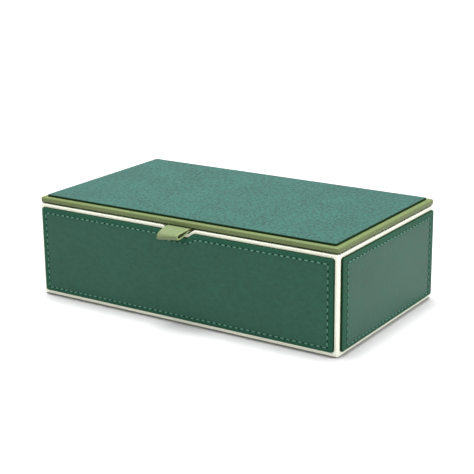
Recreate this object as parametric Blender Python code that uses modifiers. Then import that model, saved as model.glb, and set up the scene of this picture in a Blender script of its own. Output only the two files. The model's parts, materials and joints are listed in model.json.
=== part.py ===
"""Leather-covered box for decks of cards, with a hinged lid and a pull tab.

A carcass of thin boards is covered with a cream wrap.  Four stitched green
panels are laid on its sides, so the cream shows as a narrow border.  The lid is
a board in a sage wrap with a green panel on top.  A leather strip along the back
is its hinge, and a folded leather tab at the front lifts it.

The origin is on the floor, under the middle of the box.  X runs along the box,
-Y is its front, where the tab is, and +Z is up.
"""
from math import cos, radians, sin

import bmesh
import bpy
from mathutils import Matrix, Vector

MM = 0.001
GAP = 0.3 * MM                 # kept between pieces that touch

# Carcass, over the cream wrap
CORE_WIDTH = 216.6 * MM
CORE_DEPTH = 122.3 * MM
FLOOR_CLEARANCE = 0.3 * MM     # the underside card lifts the cream edge off the floor
CORE_HEIGHT = 60.2 * MM
WRAP = 0.6 * MM
BOARD = 3.0 * MM
LINING = 1.2 * MM
CORNER_RADIUS = 1.2 * MM

# Green side panels
MARGIN = 2.3 * MM              # cream left showing at each upright corner
RIM_BAND = 2.0 * MM            # cream left showing above the panels
FOOT_BAND = 2.8 * MM           # and below them
PANEL_PROUD = 1.6 * MM
PANEL_RADIUS = 1.6 * MM

# Thumb notch in the front, under the tab
NOTCH_OUTER = 12.4 * MM        # half width where the edge starts to dip
NOTCH_INNER = 6.0 * MM         # half width of its flat bottom
NOTCH_DEPTH = 3.3 * MM

# Lid
LID_GAP = 0.9 * MM
LID_HALF_WIDTH = 108.1 * MM
LID_FRONT = -60.9 * MM
LID_BACK = 61.95 * MM
LID_THICKNESS = 3.2 * MM
LID_SKIN = 0.5 * MM
LID_TURN_IN = 14.0 * MM
LID_EDGE_RADIUS = 1.0 * MM
TOP_PANEL_HALF_WIDTH = 104.9 * MM
TOP_PANEL_FRONT = -58.1 * MM
TOP_PANEL_BACK = 58.5 * MM
TOP_PANEL_RISE = 1.3 * MM
PLINTH = 1.5 * MM              # the board under the lid that drops inside the lining
PLINTH_CLEARANCE = 1.2 * MM

# Hinge strip along the back
STRIP = 0.5 * MM
STRIP_HALF_WIDTH = 95.0 * MM
STRIP_DROP = 16.0 * MM
STRIP_FOLD = 0.4 * MM          # kept clear above and below the axis, for the fold

# Pull tab
TAB_WIDTH = 16.0 * MM
TAB_LEATHER = 0.9 * MM

# Wells
DIVIDER = 2.4 * MM
DIVIDER_HEIGHT = 42.0 * MM

# Card under the box, let in between the foot of the walls
CARD = 0.8 * MM

# Levels and planes that follow from those
HALF_W = CORE_WIDTH / 2
HALF_D = CORE_DEPTH / 2
BASE_Z = FLOOR_CLEARANCE
RIM_Z = BASE_Z + CORE_HEIGHT
LID_Z = RIM_Z + LID_GAP
LID_TOP_Z = LID_Z + LID_THICKNESS
BOARD_OUT = WRAP + GAP                     # depth of each face below the core's face
BOARD_IN = BOARD_OUT + BOARD
LINING_OUT = BOARD_IN + GAP
LINING_IN = LINING_OUT + LINING
BOARD_TOP_Z = RIM_Z - WRAP - GAP
LINING_TOP_Z = LID_Z - GAP                 # the lid rests on the lining's top edge
FLOOR_BOARD_Z = CARD + GAP
FLOOR_BOARD_TOP_Z = FLOOR_BOARD_Z + BOARD
FLOOR_LINING_TOP_Z = FLOOR_BOARD_TOP_Z + GAP + LINING
PANEL_LOW_Z = BASE_Z + FOOT_BAND
PANEL_HIGH_Z = RIM_Z - RIM_BAND
HINGE_Y = HALF_D - STRIP / 2
HINGE_Z = RIM_Z + LID_GAP / 2
FAR = 20.0 * MM                            # how far cutters run past what they cut

GREEN = ("green_leather", (0.042, 0.105, 0.080), 0.48)
GREEN_LID = ("green_lid_leather", (0.135, 0.265, 0.232), 0.42)
SAGE = ("sage_leather", (0.150, 0.180, 0.085), 0.50)
CREAM = ("cream_leather", (0.880, 0.900, 0.780), 0.50)
SUEDE = ("suede", (0.210, 0.245, 0.140), 0.95)
GREYBOARD = ("greyboard", (0.420, 0.380, 0.310), 0.90)


def clear_scene():
    for item in list(bpy.data.objects):
        bpy.data.objects.remove(item, do_unlink=True)


def new_collection(name):
    collection = bpy.data.collections.new(name)
    bpy.context.scene.collection.children.link(collection)
    return collection


def material(look):
    name, colour, roughness = look
    found = bpy.data.materials.get(name)
    if found:
        return found
    made = bpy.data.materials.new(name)
    made.use_nodes = True
    shader = made.node_tree.nodes["Principled BSDF"]
    shader.inputs["Base Color"].default_value = (*colour, 1.0)
    shader.inputs["Roughness"].default_value = roughness
    shader.inputs["Metallic"].default_value = 0.0
    return made


def add_object(name, mesh, look, collection):
    made = bpy.data.objects.new(name, mesh)
    collection.objects.link(made)
    mesh.materials.clear()
    mesh.materials.append(material(look))
    return made


def block(name, low, high, look, collection, upright_radius=0.0, edge_radius=0.0):
    """A box between two corners, with its upright edges and then the others rounded."""
    low, high = Vector(low), Vector(high)
    shape = bmesh.new()
    bmesh.ops.create_cube(shape, size=1.0)
    bmesh.ops.scale(shape, vec=high - low, verts=shape.verts)
    if upright_radius:
        upright = [edge for edge in shape.edges
                   if abs(edge.verts[0].co.z - edge.verts[1].co.z) > 1e-6]
        bmesh.ops.bevel(shape, geom=upright, offset=upright_radius, segments=3,
                        profile=0.5, affect="EDGES")
    if edge_radius:
        level = [edge for edge in shape.edges
                 if abs(edge.verts[0].co.z - edge.verts[1].co.z) < 1e-6]
        bmesh.ops.bevel(shape, geom=level, offset=edge_radius, segments=3,
                        profile=0.5, affect="EDGES")
    mesh = bpy.data.meshes.new(name)
    shape.to_mesh(mesh)
    shape.free()
    made = add_object(name, mesh, look, collection)
    made.location = (low + high) / 2
    return made


def outline_solid(name, points, facing, low, high, look, collection):
    """A flat outline given thickness.  Its points are (along, up) for both facings."""
    curve = bpy.data.curves.new(name + "_outline", "CURVE")
    curve.dimensions = "2D"
    curve.fill_mode = "BOTH"
    curve.extrude = (high - low) / 2
    spline = curve.splines.new("POLY")
    spline.points.add(len(points) - 1)
    for place, (along, up) in zip(spline.points, points):
        place.co = (along, up, 0.0, 1.0)
    spline.use_cyclic_u = True
    guide = bpy.data.objects.new(name + "_guide", curve)
    collection.objects.link(guide)
    if facing == "Y":
        turn = Matrix.Rotation(radians(90), 4, "X")
        middle = Vector((0.0, (low + high) / 2, 0.0))
    else:
        turn = Matrix.Rotation(radians(90), 4, "Z") @ Matrix.Rotation(radians(90), 4, "X")
        middle = Vector(((low + high) / 2, 0.0, 0.0))
    guide.matrix_world = Matrix.Translation(middle) @ turn
    seen = guide.evaluated_get(bpy.context.evaluated_depsgraph_get())
    mesh = bpy.data.meshes.new_from_object(seen)
    mesh.name = name
    shape = bmesh.new()
    shape.from_mesh(mesh)
    bmesh.ops.remove_doubles(shape, verts=shape.verts, dist=1e-7)
    shape.to_mesh(mesh)
    shape.free()
    made = add_object(name, mesh, look, collection)
    made.matrix_world = guide.matrix_world.copy()
    bpy.data.objects.remove(guide, do_unlink=True)
    return made


def cut(target, cutter):
    cutter.hide_render = True
    cutter.display_type = "WIRE"
    step = target.modifiers.new("cut_" + cutter.name, "BOOLEAN")
    step.operation = "DIFFERENCE"
    step.solver = "EXACT"
    step.object = cutter


def notch_dip(x, depth=NOTCH_DEPTH):
    """How far the front's top edge dips at x: flat, then an S-curve, then flat."""
    rise = (NOTCH_OUTER - abs(x)) / (NOTCH_OUTER - NOTCH_INNER)
    rise = min(max(rise, 0.0), 1.0)
    return depth * rise * rise * (3.0 - 2.0 * rise)


def notch_places(steps=6):
    """Places across the notch, from +X to -X, closer together on its two slopes."""
    slope = [NOTCH_OUTER + (NOTCH_INNER - NOTCH_OUTER) * i / steps for i in range(steps + 1)]
    return slope + [-x for x in reversed(slope)]


def corner_arc(along, up, radius, start, steps=4):
    """Points on a quarter circle about (along, up), anticlockwise from an angle in degrees."""
    turns = [radians(start + 90.0 * i / steps) for i in range(steps + 1)]
    return [(along + radius * cos(turn), up + radius * sin(turn)) for turn in turns]


def panel_outline(half, low_z, high_z, radius, notched=False):
    """A rectangle with round corners, anticlockwise, with or without the notch on top."""
    points = corner_arc(half - radius, low_z + radius, radius, -90)
    points += corner_arc(half - radius, high_z - radius, radius, 0)
    if notched:
        points += [(x, high_z - notch_dip(x)) for x in notch_places()]
    points += corner_arc(-half + radius, high_z - radius, radius, 90)
    points += corner_arc(-half + radius, low_z + radius, radius, 180)
    return points


def notch_cutter(name, edge_z, depth, cutters):
    """A prism that takes the notch out of a front wall whose top edge is at edge_z."""
    points = [(x, edge_z - notch_dip(x, depth)) for x in reversed(notch_places())]
    points += [(NOTCH_OUTER, edge_z + FAR), (-NOTCH_OUTER, edge_z + FAR)]
    low, high = -HALF_D - FAR, -HALF_D + LINING_IN + FAR / 2
    return outline_solid(name, points, "Y", low, high, GREYBOARD, cutters)


def build_carcass(parts, cutters):
    """The five boards that give the box its shape."""
    out_x, in_x = HALF_W - BOARD_OUT, HALF_W - BOARD_IN
    out_y, in_y = HALF_D - BOARD_OUT, HALF_D - BOARD_IN
    front = block("front_wall_board", (-out_x, -out_y, BASE_Z), (out_x, -in_y, BOARD_TOP_Z),
                  GREYBOARD, parts)
    cut(front, notch_cutter("board_notch", BOARD_TOP_Z, NOTCH_DEPTH, cutters))
    block("back_wall_board", (-out_x, in_y, BASE_Z), (out_x, out_y, BOARD_TOP_Z), GREYBOARD, parts)
    side_y = in_y - GAP
    block("left_wall_board", (-out_x, -side_y, BASE_Z), (-in_x, side_y, BOARD_TOP_Z),
          GREYBOARD, parts)
    block("right_wall_board", (in_x, -side_y, BASE_Z), (out_x, side_y, BOARD_TOP_Z),
          GREYBOARD, parts)
    block("bottom_board", (-in_x + GAP, -side_y, FLOOR_BOARD_Z),
          (in_x - GAP, side_y, FLOOR_BOARD_TOP_Z), GREYBOARD, parts)


def build_wrap(parts, cutters):
    """The cream wrap: a thin skin over the walls' outsides and their top edges."""
    wrap = block("cream_wrap", (-HALF_W, -HALF_D, BASE_Z), (HALF_W, HALF_D, RIM_Z), CREAM, parts,
                 upright_radius=CORNER_RADIUS)
    in_x, in_y = HALF_W - BOARD_IN, HALF_D - BOARD_IN
    inside = block("wrap_inside", (-in_x, -in_y, BASE_Z - FAR), (in_x, in_y, RIM_Z + FAR),
                   CREAM, cutters)
    skin_x, skin_y = HALF_W - WRAP, HALF_D - WRAP
    walls = block("wrap_wall_space", (-skin_x, -skin_y, BASE_Z - FAR), (skin_x, skin_y, RIM_Z - WRAP),
                  CREAM, cutters)
    cut(walls, notch_cutter("wrap_notch_floor", RIM_Z - WRAP, NOTCH_DEPTH, cutters))
    cut(wrap, inside)
    cut(wrap, walls)
    cut(wrap, notch_cutter("wrap_notch", RIM_Z, NOTCH_DEPTH, cutters))
    slot_half = STRIP_HALF_WIDTH + GAP
    slot = block("wrap_strip_slot", (-slot_half, HALF_D - STRIP - GAP, RIM_Z - STRIP_DROP - GAP),
                 (slot_half, HALF_D + FAR, RIM_Z + FAR), CREAM, cutters)
    cut(wrap, slot)


def build_side_panels(parts):
    """Four green leather panels, laid on the cream with an even border left around them."""
    inner_y, outer_y = HALF_D + GAP, HALF_D + PANEL_PROUD
    inner_x, outer_x = HALF_W + GAP, HALF_W + PANEL_PROUD
    long_half, short_half = HALF_W - MARGIN, HALF_D - MARGIN
    notched = panel_outline(long_half, PANEL_LOW_Z, PANEL_HIGH_Z, PANEL_RADIUS, notched=True)
    plain = panel_outline(long_half, PANEL_LOW_Z, PANEL_HIGH_Z, PANEL_RADIUS)
    short = panel_outline(short_half, PANEL_LOW_Z, PANEL_HIGH_Z, PANEL_RADIUS)
    outline_solid("front_panel", notched, "Y", -outer_y, -inner_y, GREEN, parts)
    outline_solid("back_panel", plain, "Y", inner_y, outer_y, GREEN, parts)
    outline_solid("left_panel", short, "X", -outer_x, -inner_x, GREEN, parts)
    outline_solid("right_panel", short, "X", inner_x, outer_x, GREEN, parts)


def build_lining(parts, cutters):
    """Suede-covered cards on the floor and walls, standing a little above the rim."""
    out_x, in_x = HALF_W - LINING_OUT, HALF_W - LINING_IN
    out_y, in_y = HALF_D - LINING_OUT, HALF_D - LINING_IN
    low_z, high_z = FLOOR_BOARD_TOP_Z + GAP, LINING_TOP_Z
    floor_top = FLOOR_LINING_TOP_Z
    block("floor_lining", (-in_x + GAP, -in_y + GAP, low_z), (in_x - GAP, in_y - GAP, floor_top),
          SUEDE, parts)
    front = block("front_lining", (-out_x, -out_y, low_z), (out_x, -in_y, high_z), SUEDE, parts)
    lining_depth = NOTCH_DEPTH + LINING_TOP_Z - RIM_Z
    cut(front, notch_cutter("lining_notch", high_z, lining_depth, cutters))
    block("back_lining", (-out_x, in_y, low_z), (out_x, out_y, high_z), SUEDE, parts)
    side_y = in_y - GAP
    block("left_lining", (-out_x, -side_y, low_z), (-in_x, side_y, high_z), SUEDE, parts)
    block("right_lining", (in_x, -side_y, low_z), (out_x, side_y, high_z), SUEDE, parts)


def build_dividers(parts):
    """Two upright boards that part the inside into three equal wells."""
    inside_width = 2 * (HALF_W - LINING_IN)
    well = (inside_width - 2 * DIVIDER) / 3
    low_z = FLOOR_LINING_TOP_Z + GAP
    half_y = HALF_D - LINING_IN - GAP
    for name, side in (("left_divider", -1), ("right_divider", 1)):
        middle = side * (well + DIVIDER) / 2
        block(name, (middle - DIVIDER / 2, -half_y, low_z),
              (middle + DIVIDER / 2, half_y, low_z + DIVIDER_HEIGHT), SUEDE, parts)


def build_underside(parts):
    """The suede-covered card that the box stands on, under the bottom board."""
    half_x, half_y = HALF_W - BOARD_IN - GAP, HALF_D - BOARD_IN - GAP
    block("underside_card", (-half_x, -half_y, 0.0), (half_x, half_y, CARD), SUEDE, parts,
          upright_radius=CARD)


def build_lid(parts, cutters):
    """The lid's board, its sage wrap, the green panel on top and the lining board underneath."""
    skin = LID_SKIN
    board_x = LID_HALF_WIDTH - skin - GAP
    board_front, board_back = LID_FRONT + skin + GAP, HINGE_Y - STRIP / 2 - GAP
    board_low, board_high = LID_Z + skin + GAP, LID_TOP_Z - skin - GAP
    pieces = [block("lid_board", (-board_x, board_front, board_low),
                    (board_x, board_back, board_high), GREYBOARD, parts)]

    wrap = block("lid_wrap", (-LID_HALF_WIDTH, LID_FRONT, LID_Z),
                 (LID_HALF_WIDTH, LID_BACK, LID_TOP_Z), SAGE, parts,
                 upright_radius=1.5 * LID_EDGE_RADIUS, edge_radius=LID_EDGE_RADIUS)
    room = block("lid_wrap_room", (-board_x - GAP, board_front - GAP, board_low - GAP),
                 (board_x + GAP, LID_BACK - skin, board_high + GAP), SAGE, cutters)
    window = block("lid_wrap_window", (-board_x + LID_TURN_IN, board_front + LID_TURN_IN, board_high),
                   (board_x - LID_TURN_IN, board_back - LID_TURN_IN, LID_TOP_Z + FAR), SAGE, cutters)
    slot_half = STRIP_HALF_WIDTH + GAP
    slot = block("lid_strip_slot", (-slot_half, board_back, LID_Z - FAR),
                 (slot_half, LID_BACK - skin, board_low), SAGE, cutters)
    for cutter in (room, window, slot):
        cut(wrap, cutter)
    pieces.append(wrap)

    pieces.append(block("lid_top_panel", (-TOP_PANEL_HALF_WIDTH, TOP_PANEL_FRONT, LID_TOP_Z + GAP),
                        (TOP_PANEL_HALF_WIDTH, TOP_PANEL_BACK, LID_TOP_Z + TOP_PANEL_RISE),
                        GREEN_LID, parts, upright_radius=PANEL_RADIUS))

    plinth_x = HALF_W - LINING_IN - PLINTH_CLEARANCE
    plinth_y = HALF_D - LINING_IN - PLINTH_CLEARANCE
    plinth = block("lid_lining_board", (-plinth_x, -plinth_y, LID_Z - GAP - PLINTH),
                   (plinth_x, plinth_y, LID_Z - GAP), SUEDE, parts, upright_radius=PANEL_RADIUS)
    root = block("tab_root_space", (-TAB_WIDTH / 2 - GAP, -plinth_y - FAR, LID_Z - FAR),
                 (TAB_WIDTH / 2 + GAP, tab_root_y() + GAP, LID_Z + FAR), SUEDE, cutters)
    cut(plinth, root)
    pieces.append(plinth)
    return pieces


def tab_root_y():
    """Where the tab's two ends stop, glued under the lid behind the front lining."""
    return -HALF_D + 10.0 * MM


def tab_fold():
    """The fold of the tab seen from its end: (forward of the core, above the rim)."""
    top = 0.15 * MM
    under = top - TAB_LEATHER - 0.25 * MM
    upper = [(1.0, top), (-2.0, top - 0.15 * MM), (-5.0, top - 0.8 * MM), (-8.0, top - 1.7 * MM)]
    nose_y, nose_z, nose_radius = -9.4, top - 3.5 * MM, 1.5
    nose = []
    for i in range(7):
        turn = radians(75 + 205 * i / 6)
        nose.append((nose_y + nose_radius * cos(turn), nose_z + nose_radius * MM * sin(turn)))
    lower = [(-6.5, top - 4.2 * MM), (-3.5, under - 1.3 * MM), (-1.0, under - 0.35 * MM),
             (1.5, under)]
    fold = [(tab_root_y(), RIM_Z + top)]
    fold += [(-HALF_D + y * MM, RIM_Z + z) for y, z in upper + nose + lower]
    fold += [(tab_root_y(), RIM_Z + under)]
    return fold


def build_tab(parts):
    """The pull tab: one strip of sage leather folded back on itself, both ends under the lid."""
    shape = bmesh.new()
    fold = tab_fold()
    rows = []
    for x in (-TAB_WIDTH / 2, TAB_WIDTH / 2):
        rows.append([shape.verts.new((x, y, z)) for y, z in fold])
    for i in range(len(fold) - 1):
        shape.faces.new((rows[0][i], rows[0][i + 1], rows[1][i + 1], rows[1][i]))
    bmesh.ops.recalc_face_normals(shape, faces=shape.faces)
    mesh = bpy.data.meshes.new("pull_tab")
    shape.to_mesh(mesh)
    shape.free()
    tab = add_object("pull_tab", mesh, SAGE, parts)
    thick = tab.modifiers.new("leather", "SOLIDIFY")
    thick.thickness = TAB_LEATHER
    thick.offset = 0.0
    thick.use_even_offset = True
    return tab


def build_hinge(parts):
    """The leather hinge strip, as the leaf glued to the back and the leaf inside the lid."""
    inner_y, outer_y = HINGE_Y - STRIP / 2, HINGE_Y + STRIP / 2
    half = STRIP_HALF_WIDTH
    block("hinge_strip_lower", (-half, inner_y, RIM_Z - STRIP_DROP),
          (half, outer_y, HINGE_Z - STRIP_FOLD), SAGE, parts)
    return block("hinge_strip_upper", (-half, inner_y, HINGE_Z + STRIP_FOLD),
                 (half, outer_y, LID_TOP_Z - LID_SKIN - GAP), SAGE, parts)


def hang_on_pivot(pieces, collection):
    """Parents the lid's pieces to an empty on the hinge's axis, without moving them."""
    pivot = bpy.data.objects.new("lid_pivot", None)
    pivot.location = (0.0, HINGE_Y, HINGE_Z)
    collection.objects.link(pivot)
    bpy.context.view_layer.update()
    for piece in pieces:
        place = piece.matrix_world.copy()
        piece.parent = pivot
        piece.matrix_parent_inverse = pivot.matrix_world.inverted()
        piece.matrix_world = place


def build():
    clear_scene()
    parts = new_collection("card_deck_box")
    cutters = new_collection("cutters")
    build_carcass(parts, cutters)
    build_wrap(parts, cutters)
    build_side_panels(parts)
    build_lining(parts, cutters)
    build_dividers(parts)
    build_underside(parts)
    lid = build_lid(parts, cutters)
    lid.append(build_tab(parts))
    lid.append(build_hinge(parts))
    hang_on_pivot(lid, parts)


build()
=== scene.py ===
"""Looks for the leather card deck box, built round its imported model.

Everything is in metres, in the model's own frame: +X along the box, -Y its front, +Z up.
Each leather piece is a stack of closed outlines joined into one skin, so its edges turn and
its stitch line is pressed in, and the thread is sewn along the same outline.
"""
import json
from math import cos, pi, radians, sin, sqrt

import bmesh
import bpy
from mathutils import Matrix, Vector


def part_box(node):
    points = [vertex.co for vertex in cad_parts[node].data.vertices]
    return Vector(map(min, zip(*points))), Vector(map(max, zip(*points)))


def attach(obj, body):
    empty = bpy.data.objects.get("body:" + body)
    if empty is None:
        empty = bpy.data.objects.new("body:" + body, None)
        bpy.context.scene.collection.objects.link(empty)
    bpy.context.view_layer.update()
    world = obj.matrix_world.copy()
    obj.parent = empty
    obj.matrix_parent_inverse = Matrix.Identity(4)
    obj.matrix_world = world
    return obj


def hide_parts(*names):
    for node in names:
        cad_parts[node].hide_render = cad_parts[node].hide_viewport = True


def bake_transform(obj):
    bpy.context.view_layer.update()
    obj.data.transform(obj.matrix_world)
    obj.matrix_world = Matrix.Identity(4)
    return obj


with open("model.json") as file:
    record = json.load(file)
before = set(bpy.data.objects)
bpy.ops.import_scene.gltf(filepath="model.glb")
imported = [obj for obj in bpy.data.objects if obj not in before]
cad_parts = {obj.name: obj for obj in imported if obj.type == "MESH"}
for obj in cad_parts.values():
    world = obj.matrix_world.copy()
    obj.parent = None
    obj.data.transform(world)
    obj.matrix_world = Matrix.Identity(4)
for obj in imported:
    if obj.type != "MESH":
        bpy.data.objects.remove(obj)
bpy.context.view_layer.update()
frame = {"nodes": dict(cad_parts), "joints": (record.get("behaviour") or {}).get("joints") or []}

MM = 0.001

# Places read from the model
WRAP_LOW, WRAP_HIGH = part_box("cream_wrap")
PANEL_LOW, PANEL_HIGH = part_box("front_panel")
SIDE_LOW, SIDE_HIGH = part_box("right_panel")
LID_LOW, LID_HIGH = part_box("lid_wrap")
TOP_LOW, TOP_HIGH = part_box("lid_top_panel")
TAB_LOW, TAB_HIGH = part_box("pull_tab")
HALF_W, HALF_D = WRAP_HIGH.x, WRAP_HIGH.y
BASE_Z, RIM_Z = WRAP_LOW.z, WRAP_HIGH.z
HINGE = Vector(frame["joints"][0]["pos_m"])

# The thumb notch, as the model cuts it
NOTCH_OUTER = 12.4 * MM
NOTCH_INNER = 6.0 * MM
NOTCH_DEPTH = 3.3 * MM
NOTCH_SPREAD = 0.36            # how much an outline set in by 1 widens the notch
NOTCH_MARGIN = 1.0 * MM        # a point this far past the notch's depth still counts as in it

# How far the stitch line is set in from a panel's upright edges, its foot and its head
LONG_STITCHES = (3.6 * MM, 2.6 * MM, 3.4 * MM)
SHORT_STITCHES = (5.6 * MM, 2.6 * MM, 3.8 * MM)

# Thread and needle holes
STITCH_PITCH = 4.25 * MM
FINE_PITCH = 3.95 * MM         # along the foot and head of the long sides
STITCH_GAP = 0.74 * MM         # from a hole's middle to the thread's end
STITCH_STEPS = 8               # outlines along a stitch
THREAD_RADIUS = 0.48 * MM
THREAD_SIDES = 8
THREAD_TAPER = 0.45            # 1 tapers a stitch like an ellipse, and less makes it blunter
THREAD_ARCH = 0.75             # how far a stitch rises in its middle, in thread radii
THREAD_SUNK = 0.35             # and how far its ends are sunk in the leather
HOLE_RADIUS = 0.75 * MM
HOLE_SIDES = 10
HOLE_LIFT = 0.05 * MM          # the hole's dark disc lies just over the groove's bottom
HOLE_THICKNESS = 0.3 * MM

# Corners, seen from above or from in front
PANEL_RADIUS = 1.6 * MM
CORNER_RADIUS = 1.3 * MM
LID_RADIUS = 1.5 * MM
TOP_PANEL_RADIUS = 1.6 * MM
LEAST_RADIUS = 0.05 * MM


# ---------------------------------------------------------------- outlines

def notch_dip(x, inset=0.0):
    """How far the front's top edge dips at x, for an outline set in by inset."""
    spread = NOTCH_SPREAD * inset
    rise = (NOTCH_OUTER + spread - abs(x)) / (NOTCH_OUTER - NOTCH_INNER)
    rise = min(max(rise, 0.0), 1.0)
    return NOTCH_DEPTH * rise * rise * (3.0 - 2.0 * rise)


def notch_places(inset=0.0, steps=14):
    """Places across the notch from -X to +X, close together on its slopes."""
    outer = NOTCH_OUTER + NOTCH_SPREAD * inset
    inner = NOTCH_INNER + NOTCH_SPREAD * inset
    slope = [outer + (inner - outer) * i / steps for i in range(steps + 1)]
    flat = [inner * (1 - i / 3) for i in range(1, 3)]
    left = [-x for x in slope + flat]
    return left + [0.0] + [-x for x in reversed(left)]


def arc(along, up, radius, start, steps=6):
    turns = [radians(start + 90.0 * i / steps) for i in range(steps + 1)]
    return [(along + radius * cos(turn), up + radius * sin(turn)) for turn in turns]


def straight(start, end, steps):
    """Points strictly between two ends."""
    return [(start[0] + (end[0] - start[0]) * i / steps, start[1] + (end[1] - start[1]) * i / steps)
            for i in range(1, steps)]


def round_rectangle(low, high, radius, inset=0.0, notched=False, steps=24, spread=0.0):
    """A closed outline, anticlockwise from its lower left corner, set in from low and high.

    The notch is widened as for an outline set in by inset and spread together.
    """
    radius = max(radius - inset, LEAST_RADIUS)
    left, right = low[0] + inset + radius, high[0] - inset - radius
    down, up = low[1] + inset + radius, high[1] - inset - radius
    top = high[1] - inset
    corners = [arc(left, down, radius, 180), arc(right, down, radius, 270),
               arc(right, up, radius, 0), arc(left, up, radius, 90)]
    points = []
    for i, corner in enumerate(corners):   # the notch comes after the third corner, along the top
        points += corner
        after = corners[(i + 1) % 4][0]
        if notched and i == 2:
            places = list(reversed(notch_places(inset + spread)))
            points += straight(corner[-1], (places[0], top), 10)
            points += [(x, top - notch_dip(x, inset + spread)) for x in places]
            points += straight((places[-1], top), after, 10)
        else:
            points += straight(corner[-1], after, steps if i % 2 == 0 else steps // 2)
    return points


# ---------------------------------------------------------------- mesh work

def finish_mesh(name, shape, materials, smooth_angle=50.0):
    bmesh.ops.recalc_face_normals(shape, faces=shape.faces)
    mesh = bpy.data.meshes.new(name)
    shape.to_mesh(mesh)
    shape.free()
    for one in materials:
        mesh.materials.append(one)
    mesh.shade_smooth()
    mesh.set_sharp_from_angle(angle=radians(smooth_angle))
    piece = bpy.data.objects.new(name, mesh)
    bpy.context.scene.collection.objects.link(piece)
    return piece


def add_rings(shape, rings, slots=None, cap_first=True, cap_last=True):
    """Joins closed rings of equal length into a skin.  slots gives each band's material."""
    rows = [[shape.verts.new(point) for point in ring] for ring in rings]
    count = len(rows[0])
    for band, (row, after) in enumerate(zip(rows, rows[1:])):
        for i in range(count):
            j = (i + 1) % count
            face = shape.faces.new((row[i], row[j], after[j], after[i]))
            if slots:
                face.material_index = slots[band]
    if cap_first:
        shape.faces.new(list(reversed(rows[0]))).material_index = slots[0] if slots else 0
    if cap_last:
        shape.faces.new(rows[-1]).material_index = slots[-1] if slots else 0


def face_place(side):
    """Turns (along, up, height above the core's face) into a point, for one side of the box."""
    places = {
        "front": lambda along, up, out: Vector((along, -HALF_D - out, up)),
        "back": lambda along, up, out: Vector((-along, HALF_D + out, up)),
        "right": lambda along, up, out: Vector((HALF_W + out, along, up)),
        "left": lambda along, up, out: Vector((-HALF_W - out, -along, up)),
    }
    return places[side]


# ---------------------------------------------------------------- materials

def node_material(name):
    made = bpy.data.materials.new(name)
    made.use_nodes = True
    tree = made.node_tree
    shader = tree.nodes["Principled BSDF"]
    return made, tree, shader


def object_coordinates(tree, stretch=(1.0, 1.0, 1.0)):
    place = tree.nodes.new("ShaderNodeTexCoord")
    mapping = tree.nodes.new("ShaderNodeMapping")
    mapping.inputs["Scale"].default_value = stretch
    tree.links.new(place.outputs["Object"], mapping.inputs["Vector"])
    return mapping.outputs["Vector"]


def noise(tree, vector, scale, detail=3.0, roughness=0.55):
    node = tree.nodes.new("ShaderNodeTexNoise")
    node.inputs["Scale"].default_value = scale
    node.inputs["Detail"].default_value = detail
    node.inputs["Roughness"].default_value = roughness
    tree.links.new(vector, node.inputs["Vector"])
    return node.outputs["Fac"]


def cells(tree, vector, scale):
    node = tree.nodes.new("ShaderNodeTexVoronoi")
    node.feature = "SMOOTH_F1"
    node.inputs["Scale"].default_value = scale
    node.inputs["Smoothness"].default_value = 0.35
    tree.links.new(vector, node.inputs["Vector"])
    return node.outputs["Distance"]


def ranged(tree, value, low, high, from_low=0.0, from_high=1.0):
    node = tree.nodes.new("ShaderNodeMapRange")
    node.inputs["From Min"].default_value = from_low
    node.inputs["From Max"].default_value = from_high
    node.inputs["To Min"].default_value = low
    node.inputs["To Max"].default_value = high
    tree.links.new(value, node.inputs["Value"])
    return node.outputs["Result"]


def summed(tree, first, second, operation="ADD"):
    node = tree.nodes.new("ShaderNodeMath")
    node.operation = operation
    tree.links.new(first, node.inputs[0])
    tree.links.new(second, node.inputs[1])
    return node.outputs["Value"]


def colour_by(tree, factor, dark, light):
    node = tree.nodes.new("ShaderNodeMix")
    node.data_type = "RGBA"
    node.inputs["A"].default_value = (*dark, 1.0)
    node.inputs["B"].default_value = (*light, 1.0)
    tree.links.new(factor, node.inputs["Factor"])
    return node.outputs["Result"]


def add_bump(tree, shader, height, strength, distance):
    node = tree.nodes.new("ShaderNodeBump")
    node.inputs["Strength"].default_value = strength
    node.inputs["Distance"].default_value = distance
    tree.links.new(height, node.inputs["Height"])
    tree.links.new(node.outputs["Normal"], shader.inputs["Normal"])


def scaled(colour, factor):
    return tuple(channel * factor for channel in colour)


STREAK_SHARE = 0.35            # the streaks' noise scale, as a share of the grain's
MOTTLE_SCALE = 30.0


def leather(name, colour, stretch=(1.0, 1.0, 1.0), grain=1100.0, contrast=0.10, rough=0.48,
            depth=0.16 * MM, glint=1.3, patchy=0.28):
    """Finished leather: fine pebbled grain, faint streaks and a slow mottle.

    stretch below 1 draws the grain out along that axis, glint is its index of refraction, which
    sets how much of the room it mirrors, and patchy is the mottle's share of the contrast.
    """
    made, tree, shader = node_material(name)
    even = object_coordinates(tree)
    drawn = object_coordinates(tree, stretch)
    pebble = cells(tree, drawn, grain)
    streak = noise(tree, drawn, grain * STREAK_SHARE, detail=5.0, roughness=0.72)
    mottle = noise(tree, even, MOTTLE_SCALE, detail=2.0)
    tone = summed(tree, ranged(tree, streak, 0.0, 1.0 - patchy, 0.38, 0.62),
                  ranged(tree, mottle, 0.0, patchy, 0.35, 0.65))
    tree.links.new(colour_by(tree, tone, scaled(colour, 1 - contrast), scaled(colour, 1 + contrast)),
                   shader.inputs["Base Color"])
    tree.links.new(ranged(tree, streak, rough - 0.07, rough + 0.07, 0.3, 0.7),
                   shader.inputs["Roughness"])
    height = summed(tree, ranged(tree, pebble, 0.0, 0.7), ranged(tree, streak, 0.0, 0.5))
    add_bump(tree, shader, height, 0.55, depth)
    shader.inputs["IOR"].default_value = glint
    return made


EDGE_GLINT = 1.15              # edge paint, thread and cut leather mirror very little


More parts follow.
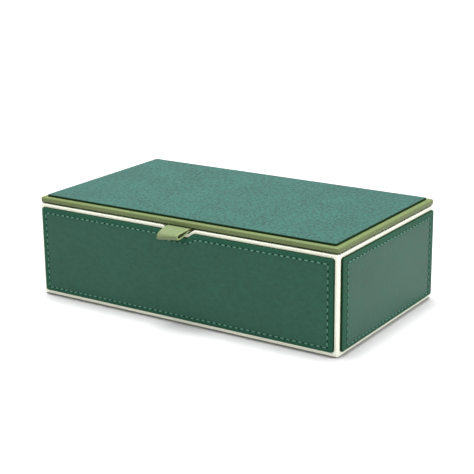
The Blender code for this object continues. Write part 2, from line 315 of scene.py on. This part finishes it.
def smooth_finish(name, colour):
    """Edge paint on cut leather, and the dark discs of painted shade in the needle holes: smooth, a
    little uneven.
    """
    made, tree, shader = node_material(name)
    waver = noise(tree, object_coordinates(tree), 420.0)
    tree.links.new(colour_by(tree, waver, scaled(colour, 0.75), scaled(colour, 1.25)),
                   shader.inputs["Base Color"])
    tree.links.new(ranged(tree, waver, 0.5, 0.7), shader.inputs["Roughness"])
    add_bump(tree, shader, waver, 0.3, 0.1 * MM)
    shader.inputs["IOR"].default_value = EDGE_GLINT
    return made


def thread_material(name, colour):
    """Waxed thread: fine twisted plies."""
    made, tree, shader = node_material(name)
    vector = object_coordinates(tree)
    wave = tree.nodes.new("ShaderNodeTexWave")
    wave.wave_type = "BANDS"
    wave.bands_direction = "DIAGONAL"
    wave.inputs["Scale"].default_value = 900.0
    wave.inputs["Distortion"].default_value = 1.0
    tree.links.new(vector, wave.inputs["Vector"])
    plies = wave.outputs["Fac"]
    tree.links.new(colour_by(tree, plies, scaled(colour, 0.72), scaled(colour, 1.15)),
                   shader.inputs["Base Color"])
    tree.links.new(ranged(tree, plies, 0.5, 0.68), shader.inputs["Roughness"])
    add_bump(tree, shader, plies, 0.5, 0.08 * MM)
    shader.inputs["IOR"].default_value = EDGE_GLINT
    return made


def suede_material(name, colour):
    """Microsuede: short nap brushed into soft light and dark patches."""
    made, tree, shader = node_material(name)
    vector = object_coordinates(tree)
    nap = noise(tree, vector, 2600.0, detail=2.0, roughness=0.7)
    brushed = noise(tree, vector, 45.0, detail=3.0)
    tone = summed(tree, ranged(tree, nap, 0.0, 0.7, 0.3, 0.7),
                  ranged(tree, brushed, 0.0, 0.3, 0.35, 0.65))
    tree.links.new(colour_by(tree, tone, scaled(colour, 0.8), scaled(colour, 1.18)),
                   shader.inputs["Base Color"])
    tree.links.new(ranged(tree, nap, 0.85, 1.0), shader.inputs["Roughness"])
    add_bump(tree, shader, nap, 0.5, 0.12 * MM)
    shader.inputs["Sheen Weight"].default_value = 0.35
    shader.inputs["Sheen Roughness"].default_value = 0.5
    return made


def board_material(name, colour):
    """Raw greyboard: pressed fibres and flecks."""
    made, tree, shader = node_material(name)
    fibres = noise(tree, object_coordinates(tree, (1.0, 1.0, 3.0)), 700.0, detail=5.0, roughness=0.7)
    tree.links.new(colour_by(tree, fibres, scaled(colour, 0.75), scaled(colour, 1.2)),
                   shader.inputs["Base Color"])
    tree.links.new(ranged(tree, fibres, 0.85, 0.98), shader.inputs["Roughness"])
    add_bump(tree, shader, fibres, 0.4, 0.15 * MM)
    return made


GREEN = (0.0160, 0.081, 0.052)
# The lid's green is bluer than the sides': partly the leather's own tint, partly a painted bluish
# sheen that the top catches.
GREEN_LID_WITH_SHEEN_TINT = (0.0145, 0.079, 0.062)
GREEN_BORDER = (0.0165, 0.080, 0.048)
SAGE = (0.122, 0.160, 0.060)
SAGE_TAB = (0.142, 0.180, 0.084)
CREAM = (0.89, 0.905, 0.755)
MATERIALS = {
    "green_long": leather("green_leather_long_sides", GREEN, stretch=(0.6, 1.0, 1.0),
                          contrast=0.14),
    "green_short": leather("green_leather_short_sides", GREEN, stretch=(1.0, 1.0, 0.6),
                           contrast=0.2, depth=0.24 * MM, glint=1.36),
    "green_border": leather("green_leather_border", GREEN_BORDER, glint=1.17),
    "green_top": leather("green_leather_lid_sheen_tinted", GREEN_LID_WITH_SHEEN_TINT, stretch=(0.8, 1.0, 1.0), grain=1900.0,
                         contrast=0.55, depth=0.34 * MM, glint=1.42, patchy=0.15),
    # dark edge paint, made near black as painted shade where the panels meet the cream, round the
    # lid's green leather and under the lid
    "dark_edge_and_shade": smooth_finish("edge_paint_with_painted_shade", (0.005, 0.021, 0.006)),
    "sage": leather("sage_leather", SAGE, grain=1500.0, contrast=0.07, depth=0.1 * MM),
    "sage_tab": leather("sage_tab_leather", SAGE_TAB, grain=1500.0, contrast=0.09,
                        depth=0.1 * MM),
    "sage_cut": smooth_finish("sage_cut_edge", (0.34, 0.40, 0.20)),
    "cream": leather("cream_leather", CREAM, grain=1500.0, contrast=0.04, depth=0.08 * MM),
    "thread": thread_material("green_thread", (0.085, 0.205, 0.150)),
    # near-black discs of painted shade, standing in for the shade in the needle holes
    "hole_shade": smooth_finish("needle_hole", (0.0015, 0.011, 0.007)),
    "suede": suede_material("sage_suede", (0.21, 0.245, 0.14)),
    "board": board_material("greyboard", (0.42, 0.38, 0.31)),
}


# ---------------------------------------------------------------- side panels

# (set in from the panel's outline, height above the cream), in mm, from the cream outwards
PANEL_EDGE = [(0.0, 0.0), (0.0, 0.7), (0.0, 1.08), (0.05, 1.22), (0.18, 1.34), (0.42, 1.43),
              (0.9, 1.51), (1.4, 1.57), (1.8, 1.6)]
# The same from the border inwards, as (share of the stitch line's depth, height)
STITCH_GROOVE = [(0.72, 1.58), (0.86, 1.50), (1.0, 1.42), (1.14, 1.50), (1.28, 1.59),
                 (1.6, 1.63), (2.4, 1.65)]
# The dark bands are edge paint, darkened further as painted shade of the corner where the panel
# meets the cream; the border comes after them.
PANEL_PAINT_AND_SHADE_BANDS = 4              # bands of painted edge, counted from the cream
BORDER_BANDS = len(PANEL_EDGE) + 2     # bands up to the stitch line: paint, then the border
SURFACE = min(height for _, height in STITCH_GROOVE) * MM


def stitch_box(low, high, depth, share=1.0):
    """The stitch line's rectangle, or one a share of the way to it from the panel's edge."""
    side, foot, head = depth
    return ((low[0] + side * share, low[1] + foot * share),
            (high[0] - side * share, high[1] - head * share))


def leather_panel(side, low, high, notched, skin, depth):
    """One side's leather, with a turned edge and its stitch line pressed in."""
    place = face_place(side)
    rings = []
    for inset, height in PANEL_EDGE:
        outline = round_rectangle(low, high, PANEL_RADIUS, inset * MM, notched)
        rings.append([place(along, up, height * MM) for along, up in outline])
    for share, height in STITCH_GROOVE:
        corners = stitch_box(low, high, depth, share)
        outline = round_rectangle(*corners, LEAST_RADIUS, 0.0, notched, spread=depth[2] * share)
        rings.append([place(along, up, height * MM) for along, up in outline])
    count = len(rings) - 1
    # slot 1 is edge paint with painted shade of the corner, slot 2 the border, slot 0 the face
    slots = [1 if band < PANEL_PAINT_AND_SHADE_BANDS else 2 if band < BORDER_BANDS else 0
             for band in range(count)]
    shape = bmesh.new()
    add_rings(shape, rings, slots)
    looks = [MATERIALS[skin], MATERIALS["dark_edge_and_shade"], MATERIALS["green_border"]]
    return finish_mesh(side + "_leather", shape, looks)


def stitch_sides(low, high, notched, depth):
    """The stitch line's four sides, each a list of points from corner to corner."""
    (left, down), (right, up) = stitch_box(low, high, depth)
    top = [(right, up), (left, up)]
    if notched:
        places = list(reversed(notch_places(depth[2])))
        dipped = [(x, up - notch_dip(x, depth[2])) for x in places]
        top = [(right, up)] + dipped + [(left, up)]
    return [[(left, down), (right, down)], [(right, down), (right, up)], top,
            [(left, up), (left, down)]]


def even_steps(points, pitch):
    """Points evenly spaced along a line of points, as near to pitch apart as its ends allow."""
    lengths = [(Vector(b) - Vector(a)).length for a, b in zip(points, points[1:])]
    total = sum(lengths)
    count = max(1, round(total / pitch))
    found = []
    leg, passed = 0, 0.0
    for i in range(count + 1):
        target = total * i / count
        while leg < len(lengths) - 1 and passed + lengths[leg] < target:
            passed += lengths[leg]
            leg += 1
        share = min((target - passed) / lengths[leg], 1.0)
        found.append(Vector(points[leg]).lerp(Vector(points[leg + 1]), share))
    return found


def add_stitch(shape, place, start, end, surface):
    """One stitch: a short thread that rises from one hole and dives into the next."""
    along = (end - start).normalized()
    across = Vector((-along.y, along.x))
    half = (end - start).length / 2 - STITCH_GAP
    middle = (start + end) / 2
    rings = []
    for i in range(1, STITCH_STEPS):
        turn = pi * i / STITCH_STEPS
        step, girth = -cos(turn), sin(turn) ** THREAD_TAPER
        rise = surface + THREAD_RADIUS * (THREAD_ARCH * (1 - step ** 4) - THREAD_SUNK)
        ring = []
        for k in range(THREAD_SIDES):
            spin = 2 * pi * k / THREAD_SIDES
            out = rise + THREAD_RADIUS * girth * cos(spin)
            spot = middle + along * half * step + across * THREAD_RADIUS * girth * sin(spin)
            ring.append(place(spot.x, spot.y, out))
        rings.append(ring)
    add_rings(shape, rings)


def add_hole(shape, place, centre, surface):
    """A needle hole, as a small dark disc of painted shade let into the leather."""
    ring = []
    for k in range(HOLE_SIDES):
        spin = 2 * pi * k / HOLE_SIDES
        ring.append(place(centre.x + HOLE_RADIUS * cos(spin), centre.y + HOLE_RADIUS * sin(spin),
                          surface + HOLE_LIFT))
    outwards = place(0, 0, 1.0) - place(0, 0, 0.0)
    foot = [point - outwards * HOLE_THICKNESS for point in ring]
    add_rings(shape, [foot, ring])


def stitching(side, low, high, notched, depth, level_pitch):
    """The thread sewn round one panel, and its needle holes.

    level_pitch is the stitches' pitch along the panel's foot and head.
    """
    place = face_place(side)
    thread, holes = bmesh.new(), bmesh.new()
    pitches = [level_pitch, STITCH_PITCH, level_pitch, STITCH_PITCH]
    for line, pitch in zip(stitch_sides(low, high, notched, depth), pitches):
        spots = even_steps(line, pitch)
        for start, end in zip(spots, spots[1:]):
            add_stitch(thread, place, start, end, SURFACE)
            add_hole(holes, place, start, SURFACE)
    return [finish_mesh(side + "_thread", thread, [MATERIALS["thread"]]),
            finish_mesh(side + "_needle_holes", holes, [MATERIALS["hole_shade"]])]


def build_side_panels():
    long_low, long_high = (PANEL_LOW.x, PANEL_LOW.z), (PANEL_HIGH.x, PANEL_HIGH.z)
    short_low, short_high = (SIDE_LOW.y, SIDE_LOW.z), (SIDE_HIGH.y, SIDE_HIGH.z)
    sides = [("front", long_low, long_high, True, "green_long", LONG_STITCHES, FINE_PITCH),
             ("back", long_low, long_high, False, "green_long", LONG_STITCHES, FINE_PITCH),
             ("left", short_low, short_high, False, "green_short", SHORT_STITCHES, STITCH_PITCH),
             ("right", short_low, short_high, False, "green_short", SHORT_STITCHES, STITCH_PITCH)]
    for side, low, high, notched, skin, depth, level_pitch in sides:
        panel = leather_panel(side, low, high, notched, skin, depth)
        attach(panel, "base")
        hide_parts(side + "_panel")
        for piece in stitching(side, low, high, notched, depth, level_pitch):
            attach(piece, "base")


# ---------------------------------------------------------------- cream wrap

def plan_ring(low, high, radius, inset, z, dips=False):
    """A level outline round the box.  The front side follows the notch if dips is set."""
    flip = [(x, -y) for x, y in round_rectangle((low[0], -high[1]), (high[0], -low[1]), radius,
                                                inset, notched=True)]
    ring = []
    for x, y in flip:
        front = y < low[1] + inset + NOTCH_DEPTH + NOTCH_MARGIN and abs(x) <= NOTCH_OUTER + inset
        if front:
            y = low[1] + inset
        ring.append(Vector((x, y, z - (notch_dip(x) if front and dips else 0.0))))
    return ring


# (set in from the core's face, height below the rim, follows the notch), in mm
RIM_EDGE = [(3.6, 8.0, True), (3.6, 0.4, True), (3.5, 0.12, True), (3.25, 0.0, True),
            (1.5, 0.0, True), (0.34, 0.0, True), (0.17, 0.04, True), (0.05, 0.16, True),
            (0.0, 0.34, True), (0.0, 0.9, True), (0.0, 7.5, False)]
# (set in from the core's face, height above its underside), in mm
FOOT_EDGE = [(0.0, 0.85), (0.1, 0.53), (0.3, 0.32), (0.6, 0.25), (3.0, 0.25)]
COVER_THICKNESS = 0.35 * MM


def build_cream_wrap():
    """The cream leather: up the outside, over the rim and a little way down inside it."""
    low, high = (-HALF_W, -HALF_D), (HALF_W, HALF_D)
    rings = [plan_ring(low, high, CORNER_RADIUS, inset * MM, RIM_Z - drop * MM, dips)
             for inset, drop, dips in RIM_EDGE]
    rings += [plan_ring(low, high, CORNER_RADIUS, inset * MM, BASE_Z + up * MM)
              for inset, up in FOOT_EDGE]
    shape = bmesh.new()
    add_rings(shape, rings, cap_first=False, cap_last=False)
    wrap = finish_mesh("cream_cover", shape, [MATERIALS["cream"]])
    solid = wrap.modifiers.new("thickness", "SOLIDIFY")
    solid.thickness = COVER_THICKNESS
    solid.offset = -1.0
    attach(wrap, "base")
    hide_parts("cream_wrap")


# ---------------------------------------------------------------- lining

def soft_block(name, low, high, radius, body, node):
    """A suede-covered card: a box with soft round edges."""
    shape = bmesh.new()
    bmesh.ops.create_cube(shape, size=1.0)
    bmesh.ops.scale(shape, vec=high - low, verts=shape.verts)
    bmesh.ops.translate(shape, vec=(low + high) / 2, verts=shape.verts)
    bmesh.ops.bevel(shape, geom=shape.edges[:], offset=radius, segments=4, profile=0.5,
                    affect="EDGES")
    piece = finish_mesh(name, shape, [MATERIALS["suede"]])
    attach(piece, body)
    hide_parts(node)


LINING_ROUND = 0.42            # a lining's edge radius, as a share of its thickness


def build_linings():
    for node in ("floor_lining", "back_lining", "left_lining", "right_lining",
                 "left_divider", "right_divider", "underside_card"):
        low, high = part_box(node)
        soft_block(node + "_suede", low, high, LINING_ROUND * min(high - low), "base", node)
    frame["nodes"]["front_lining"].data.materials[0] = MATERIALS["suede"]


# ---------------------------------------------------------------- lid

# (set in from the lid's outline, height above its underside), in mm
LID_EDGE = [(14.0, -0.15), (1.3, -0.15), (0.4, -0.15), (0.18, -0.1), (0.04, 0.05), (0.0, 0.3),
            (0.0, 2.1), (0.06, 2.5), (0.25, 2.82), (0.58, 3.07), (1.0, 3.17), (1.5, 3.2),
            (2.6, 3.2), (8.0, 3.2)]
# The sage cover's lower edge takes the dark edge material: edge paint, darkened as painted shade of
# the gap over the cream rim.
LID_PAINT_AND_SHADE_BANDS = (2, 3, 4)   # the sage cover's lower edge, darkened with edge paint
# (set in from the lid's green leather, height above the sage), in mm
TOP_EDGE = [(0.0, 0.0), (0.0, 0.6), (0.0, 1.0), (0.06, 1.14), (0.2, 1.24), (0.45, 1.29),
            (0.9, 1.3), (4.0, 1.3)]
# The lid's green leather edge is edge paint, darkened as painted shade of the groove against the
# sage ledge.
TOP_PAINT_AND_SHADE_BANDS = 5          # bands of painted edge, counted from the sage


def level_rings(low, high, radius, edge, floor_z):
    """Level outlines stacked up from floor_z, one for each (set in, height) of edge."""
    rings = []
    for inset, up in edge:
        outline = round_rectangle((low.x, low.y), (high.x, high.y), radius, inset * MM)
        rings.append([Vector((x, y, floor_z + up * MM)) for x, y in outline])
    return rings


REAR_LIP_RADIUS = 1.3 * MM
REAR_LIP_START = 2.5 * MM      # in front of the hinge, where the lip's easing starts


def ease_rear_lip(rings):
    """Rounds the lid's lower edge along the back, so that it clears the rim as it opens."""
    for point in (point for ring in rings for point in ring):
        if point.y > HINGE.y - REAR_LIP_START:
            inward = REAR_LIP_RADIUS - min(max(LID_HIGH.y - point.y, 0.0), REAR_LIP_RADIUS)
            lift = REAR_LIP_RADIUS - sqrt(REAR_LIP_RADIUS ** 2 - inward ** 2)
            point.z = max(point.z, LID_LOW.z + lift)


def build_lid():
    shape = bmesh.new()
    rings = level_rings(LID_LOW, LID_HIGH, LID_RADIUS, LID_EDGE, LID_LOW.z)
    ease_rear_lip(rings)
    slots = [1 if band in LID_PAINT_AND_SHADE_BANDS else 0 for band in range(len(LID_EDGE) - 1)]
    add_rings(shape, rings, slots)
    cover = finish_mesh("lid_sage_cover", shape, [MATERIALS["sage"], MATERIALS["dark_edge_and_shade"]])
    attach(cover, "lid")
    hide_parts("lid_wrap", "lid_board")

    shape = bmesh.new()
    rings = level_rings(TOP_LOW, TOP_HIGH, TOP_PANEL_RADIUS, TOP_EDGE, LID_HIGH.z)
    slots = [1 if band < TOP_PAINT_AND_SHADE_BANDS else 0 for band in range(len(rings) - 1)]
    add_rings(shape, rings, slots)
    top = finish_mesh("lid_top_leather", shape, [MATERIALS["green_top"], MATERIALS["dark_edge_and_shade"]])
    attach(top, "lid")
    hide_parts("lid_top_panel")

    frame["nodes"]["lid_lining_board"].data.materials[0] = MATERIALS["suede"]


# ---------------------------------------------------------------- pull tab

TAB_THICK = 1.0 * MM
TAB_ROUND = 0.3 * MM
CUT_FACING = 0.6               # faces turned this far to the side are the strip's cut edges


def smooth_line(points, steps):
    """A Catmull-Rom line through points."""
    line = []
    ends = [points[0]] + list(points) + [points[-1]]
    for a, b, c, d in zip(ends, ends[1:], ends[2:], ends[3:]):
        for i in range(steps):
            t = i / steps
            line.append(0.5 * (2 * b + (c - a) * t + (2 * a - 5 * b + 4 * c - d) * t * t
                               + (3 * b - a - 3 * c + d) * t ** 3))
    line.append(points[-1])
    return line


# The fold seen from its end, as (behind the core's front, above the rim), in mm, so what stands
# out in front is negative.  The tab is twisted by use: its right side is higher than its left.
TAB_LEFT = [(10.0, 0.1), (4.0, 0.1), (0.5, 0.0), (-2.5, -0.35), (-5.5, -1.0), (-8.0, -1.8),
            (-9.6, -2.7), (-10.5, -3.9), (-10.4, -5.0), (-9.4, -5.7), (-7.2, -5.2),
            (-4.6, -3.8), (-2.2, -2.2), (0.0, -1.25), (3.0, -1.15), (10.0, -1.15)]
TAB_RIGHT = [(10.0, 0.1), (4.0, 0.1), (0.5, 0.0), (-2.5, -0.2), (-5.5, -0.5), (-8.2, -0.85),
             (-10.0, -1.3), (-10.9, -2.1), (-10.8, -3.1), (-9.9, -3.8), (-7.4, -3.7),
             (-4.6, -3.0), (-2.2, -1.9), (0.0, -1.25), (3.0, -1.15), (10.0, -1.15)]
TAB_TAPER = 0.12               # how much narrower the right half is at the tab's nose


def tab_line(spots):
    return smooth_line([Vector((0.0, -HALF_D + y * MM, RIM_Z + z * MM)) for y, z in spots], 5)


def along_and_out(line, i):
    """One of a line's points, and the direction square to the line there."""
    ahead = (line[min(i + 1, len(line) - 1)] - line[max(i - 1, 0)]).normalized()
    return line[i], Vector((1, 0, 0)).cross(ahead).normalized()


def tab_ring(left, right, i, half, section):
    """One outline across the tab, leaning from its left side's place to its right side's."""
    left_spot, left_out = along_and_out(left, i)
    right_spot, right_out = along_and_out(right, i)
    forward = min(max((-HALF_D - left_spot.y) / (-HALF_D - TAB_LOW.y), 0.0), 1.0)
    ring = []
    for x, lift in section:
        share = (x / half + 1.0) / 2.0
        spot = left_spot.lerp(right_spot, share) + left_out.lerp(right_out, share) * lift
        ring.append(Vector((x * (1.0 - TAB_TAPER * forward * share), spot.y, spot.z)))
    return ring


def build_tab():
    """The pull tab: one strip of sage leather folded back on itself."""
    left, right = tab_line(TAB_LEFT), tab_line(TAB_RIGHT)
    half = (TAB_HIGH.x - TAB_LOW.x) / 2
    section = round_rectangle((-half, -TAB_THICK / 2), (half, TAB_THICK / 2), TAB_ROUND, steps=12)
    shape = bmesh.new()
    add_rings(shape, [tab_ring(left, right, i, half, section) for i in range(len(left))])
    shape.normal_update()
    for face in shape.faces:
        face.material_index = 1 if abs(face.normal.x) > CUT_FACING else 0
    tab = finish_mesh("pull_tab_leather", shape, [MATERIALS["sage_tab"], MATERIALS["sage_cut"]])
    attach(tab, "lid")
    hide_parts("pull_tab")


# ---------------------------------------------------------------- hinge

HINGE_STEPS = 48
HINGE_PROUD = 0.12 * MM        # how far the visible strip stands out past the model's leaves
HINGE_ROUND = 0.2 * MM


def build_hinge():
    """The leather strip along the back, whole again, as one straight piece across the gap under the
    lid.
    """
    low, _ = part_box("hinge_strip_lower")
    _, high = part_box("hinge_strip_upper")
    heights = [low.z + (high.z - low.z) * i / HINGE_STEPS for i in range(HINGE_STEPS + 1)]
    rings = []
    for z in heights:
        outline = round_rectangle((low.x, low.y), (high.x, high.y + HINGE_PROUD), HINGE_ROUND)
        rings.append([Vector((x, y, z)) for x, y in outline])
    shape = bmesh.new()
    add_rings(shape, rings)
    strip = finish_mesh("hinge_strip_leather", shape, [MATERIALS["sage"]])
    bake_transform(strip)
    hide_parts("hinge_strip_lower", "hinge_strip_upper")


def paint_boards():
    for node in ("bottom_board", "front_wall_board", "back_wall_board", "left_wall_board",
                 "right_wall_board"):
        frame["nodes"][node].data.materials[0] = MATERIALS["board"]


# ---------------------------------------------------------------- studio

CAMERA_AZIMUTH = 33.394
CAMERA_PITCH = 16.666
CAMERA_ROLL = -0.655
CAMERA_LENS = 95.9             # mm, on a 36 mm sensor
CAMERA_REACH = Vector((-0.72, -34.29, -813.3)) * MM   # to the box, in the camera's own axes


def build_camera():
    data = bpy.data.cameras.new("camera")
    data.lens = CAMERA_LENS
    data.sensor_width = 36.0
    data.clip_start = 0.01
    camera = bpy.data.objects.new("camera", data)
    bpy.context.scene.collection.objects.link(camera)
    turn = (Matrix.Rotation(radians(CAMERA_AZIMUTH), 3, "Z")
            @ Matrix.Rotation(radians(90.0 - CAMERA_PITCH), 3, "X")
            @ Matrix.Rotation(radians(CAMERA_ROLL), 3, "Z"))
    middle = Vector((0.0, 0.0, PANEL_LOW.z))
    camera.matrix_world = Matrix.Translation(middle - turn @ CAMERA_REACH) @ turn.to_4x4()
    bpy.context.scene.camera = camera


FLOOR_HALF_WIDTH = 12.0        # metres, which fills the picture except from very low down


def build_floor():
    shape = bmesh.new()
    bmesh.ops.create_grid(shape, x_segments=1, y_segments=1, size=FLOOR_HALF_WIDTH)
    made, tree, shader = node_material("floor_paper")
    speck = noise(tree, object_coordinates(tree), 60.0)
    tree.links.new(colour_by(tree, speck, (0.53, 0.53, 0.53), (0.55, 0.55, 0.55)),
                   shader.inputs["Base Color"])
    shader.inputs["Roughness"].default_value = 0.9
    shader.inputs["Specular IOR Level"].default_value = 0.1
    finish_mesh("floor", shape, [made])


def add_sun(name, towards, strength, spread):
    """A soft light from far away.

    towards points from the box to the light, and spread is how wide it looks, in degrees.
    """
    data = bpy.data.lights.new(name, "SUN")
    data.energy = strength
    data.angle = radians(spread)
    lamp = bpy.data.objects.new(name, data)
    lamp.rotation_mode = "QUATERNION"
    lamp.rotation_quaternion = Vector(towards).to_track_quat("Z", "Y")
    bpy.context.scene.collection.objects.link(lamp)


def build_lights():
    """White studio light: a broad lamp overhead, softer ones at the right and front, and fill."""
    world = bpy.data.worlds.new("studio")
    bpy.context.scene.world = world
    world.use_nodes = True
    world.node_tree.nodes["Background"].inputs["Color"].default_value = (0.99, 1.0, 1.01, 1.0)
    world.node_tree.nodes["Background"].inputs["Strength"].default_value = 0.45
    add_sun("overhead", (-0.10, 0.08, 1.0), strength=6.1, spread=32.0)
    add_sun("right_side", (1.0, 0.15, 0.6), strength=1.25, spread=60.0)
    add_sun("front_fill", (0.1, -1.0, 0.2), strength=0.6, spread=60.0)
    bpy.context.scene.view_settings.view_transform = "Standard"


build_camera()
build_side_panels()
build_cream_wrap()
build_linings()
build_lid()
build_tab()
build_hinge()
paint_boards()
build_floor()
build_lights()
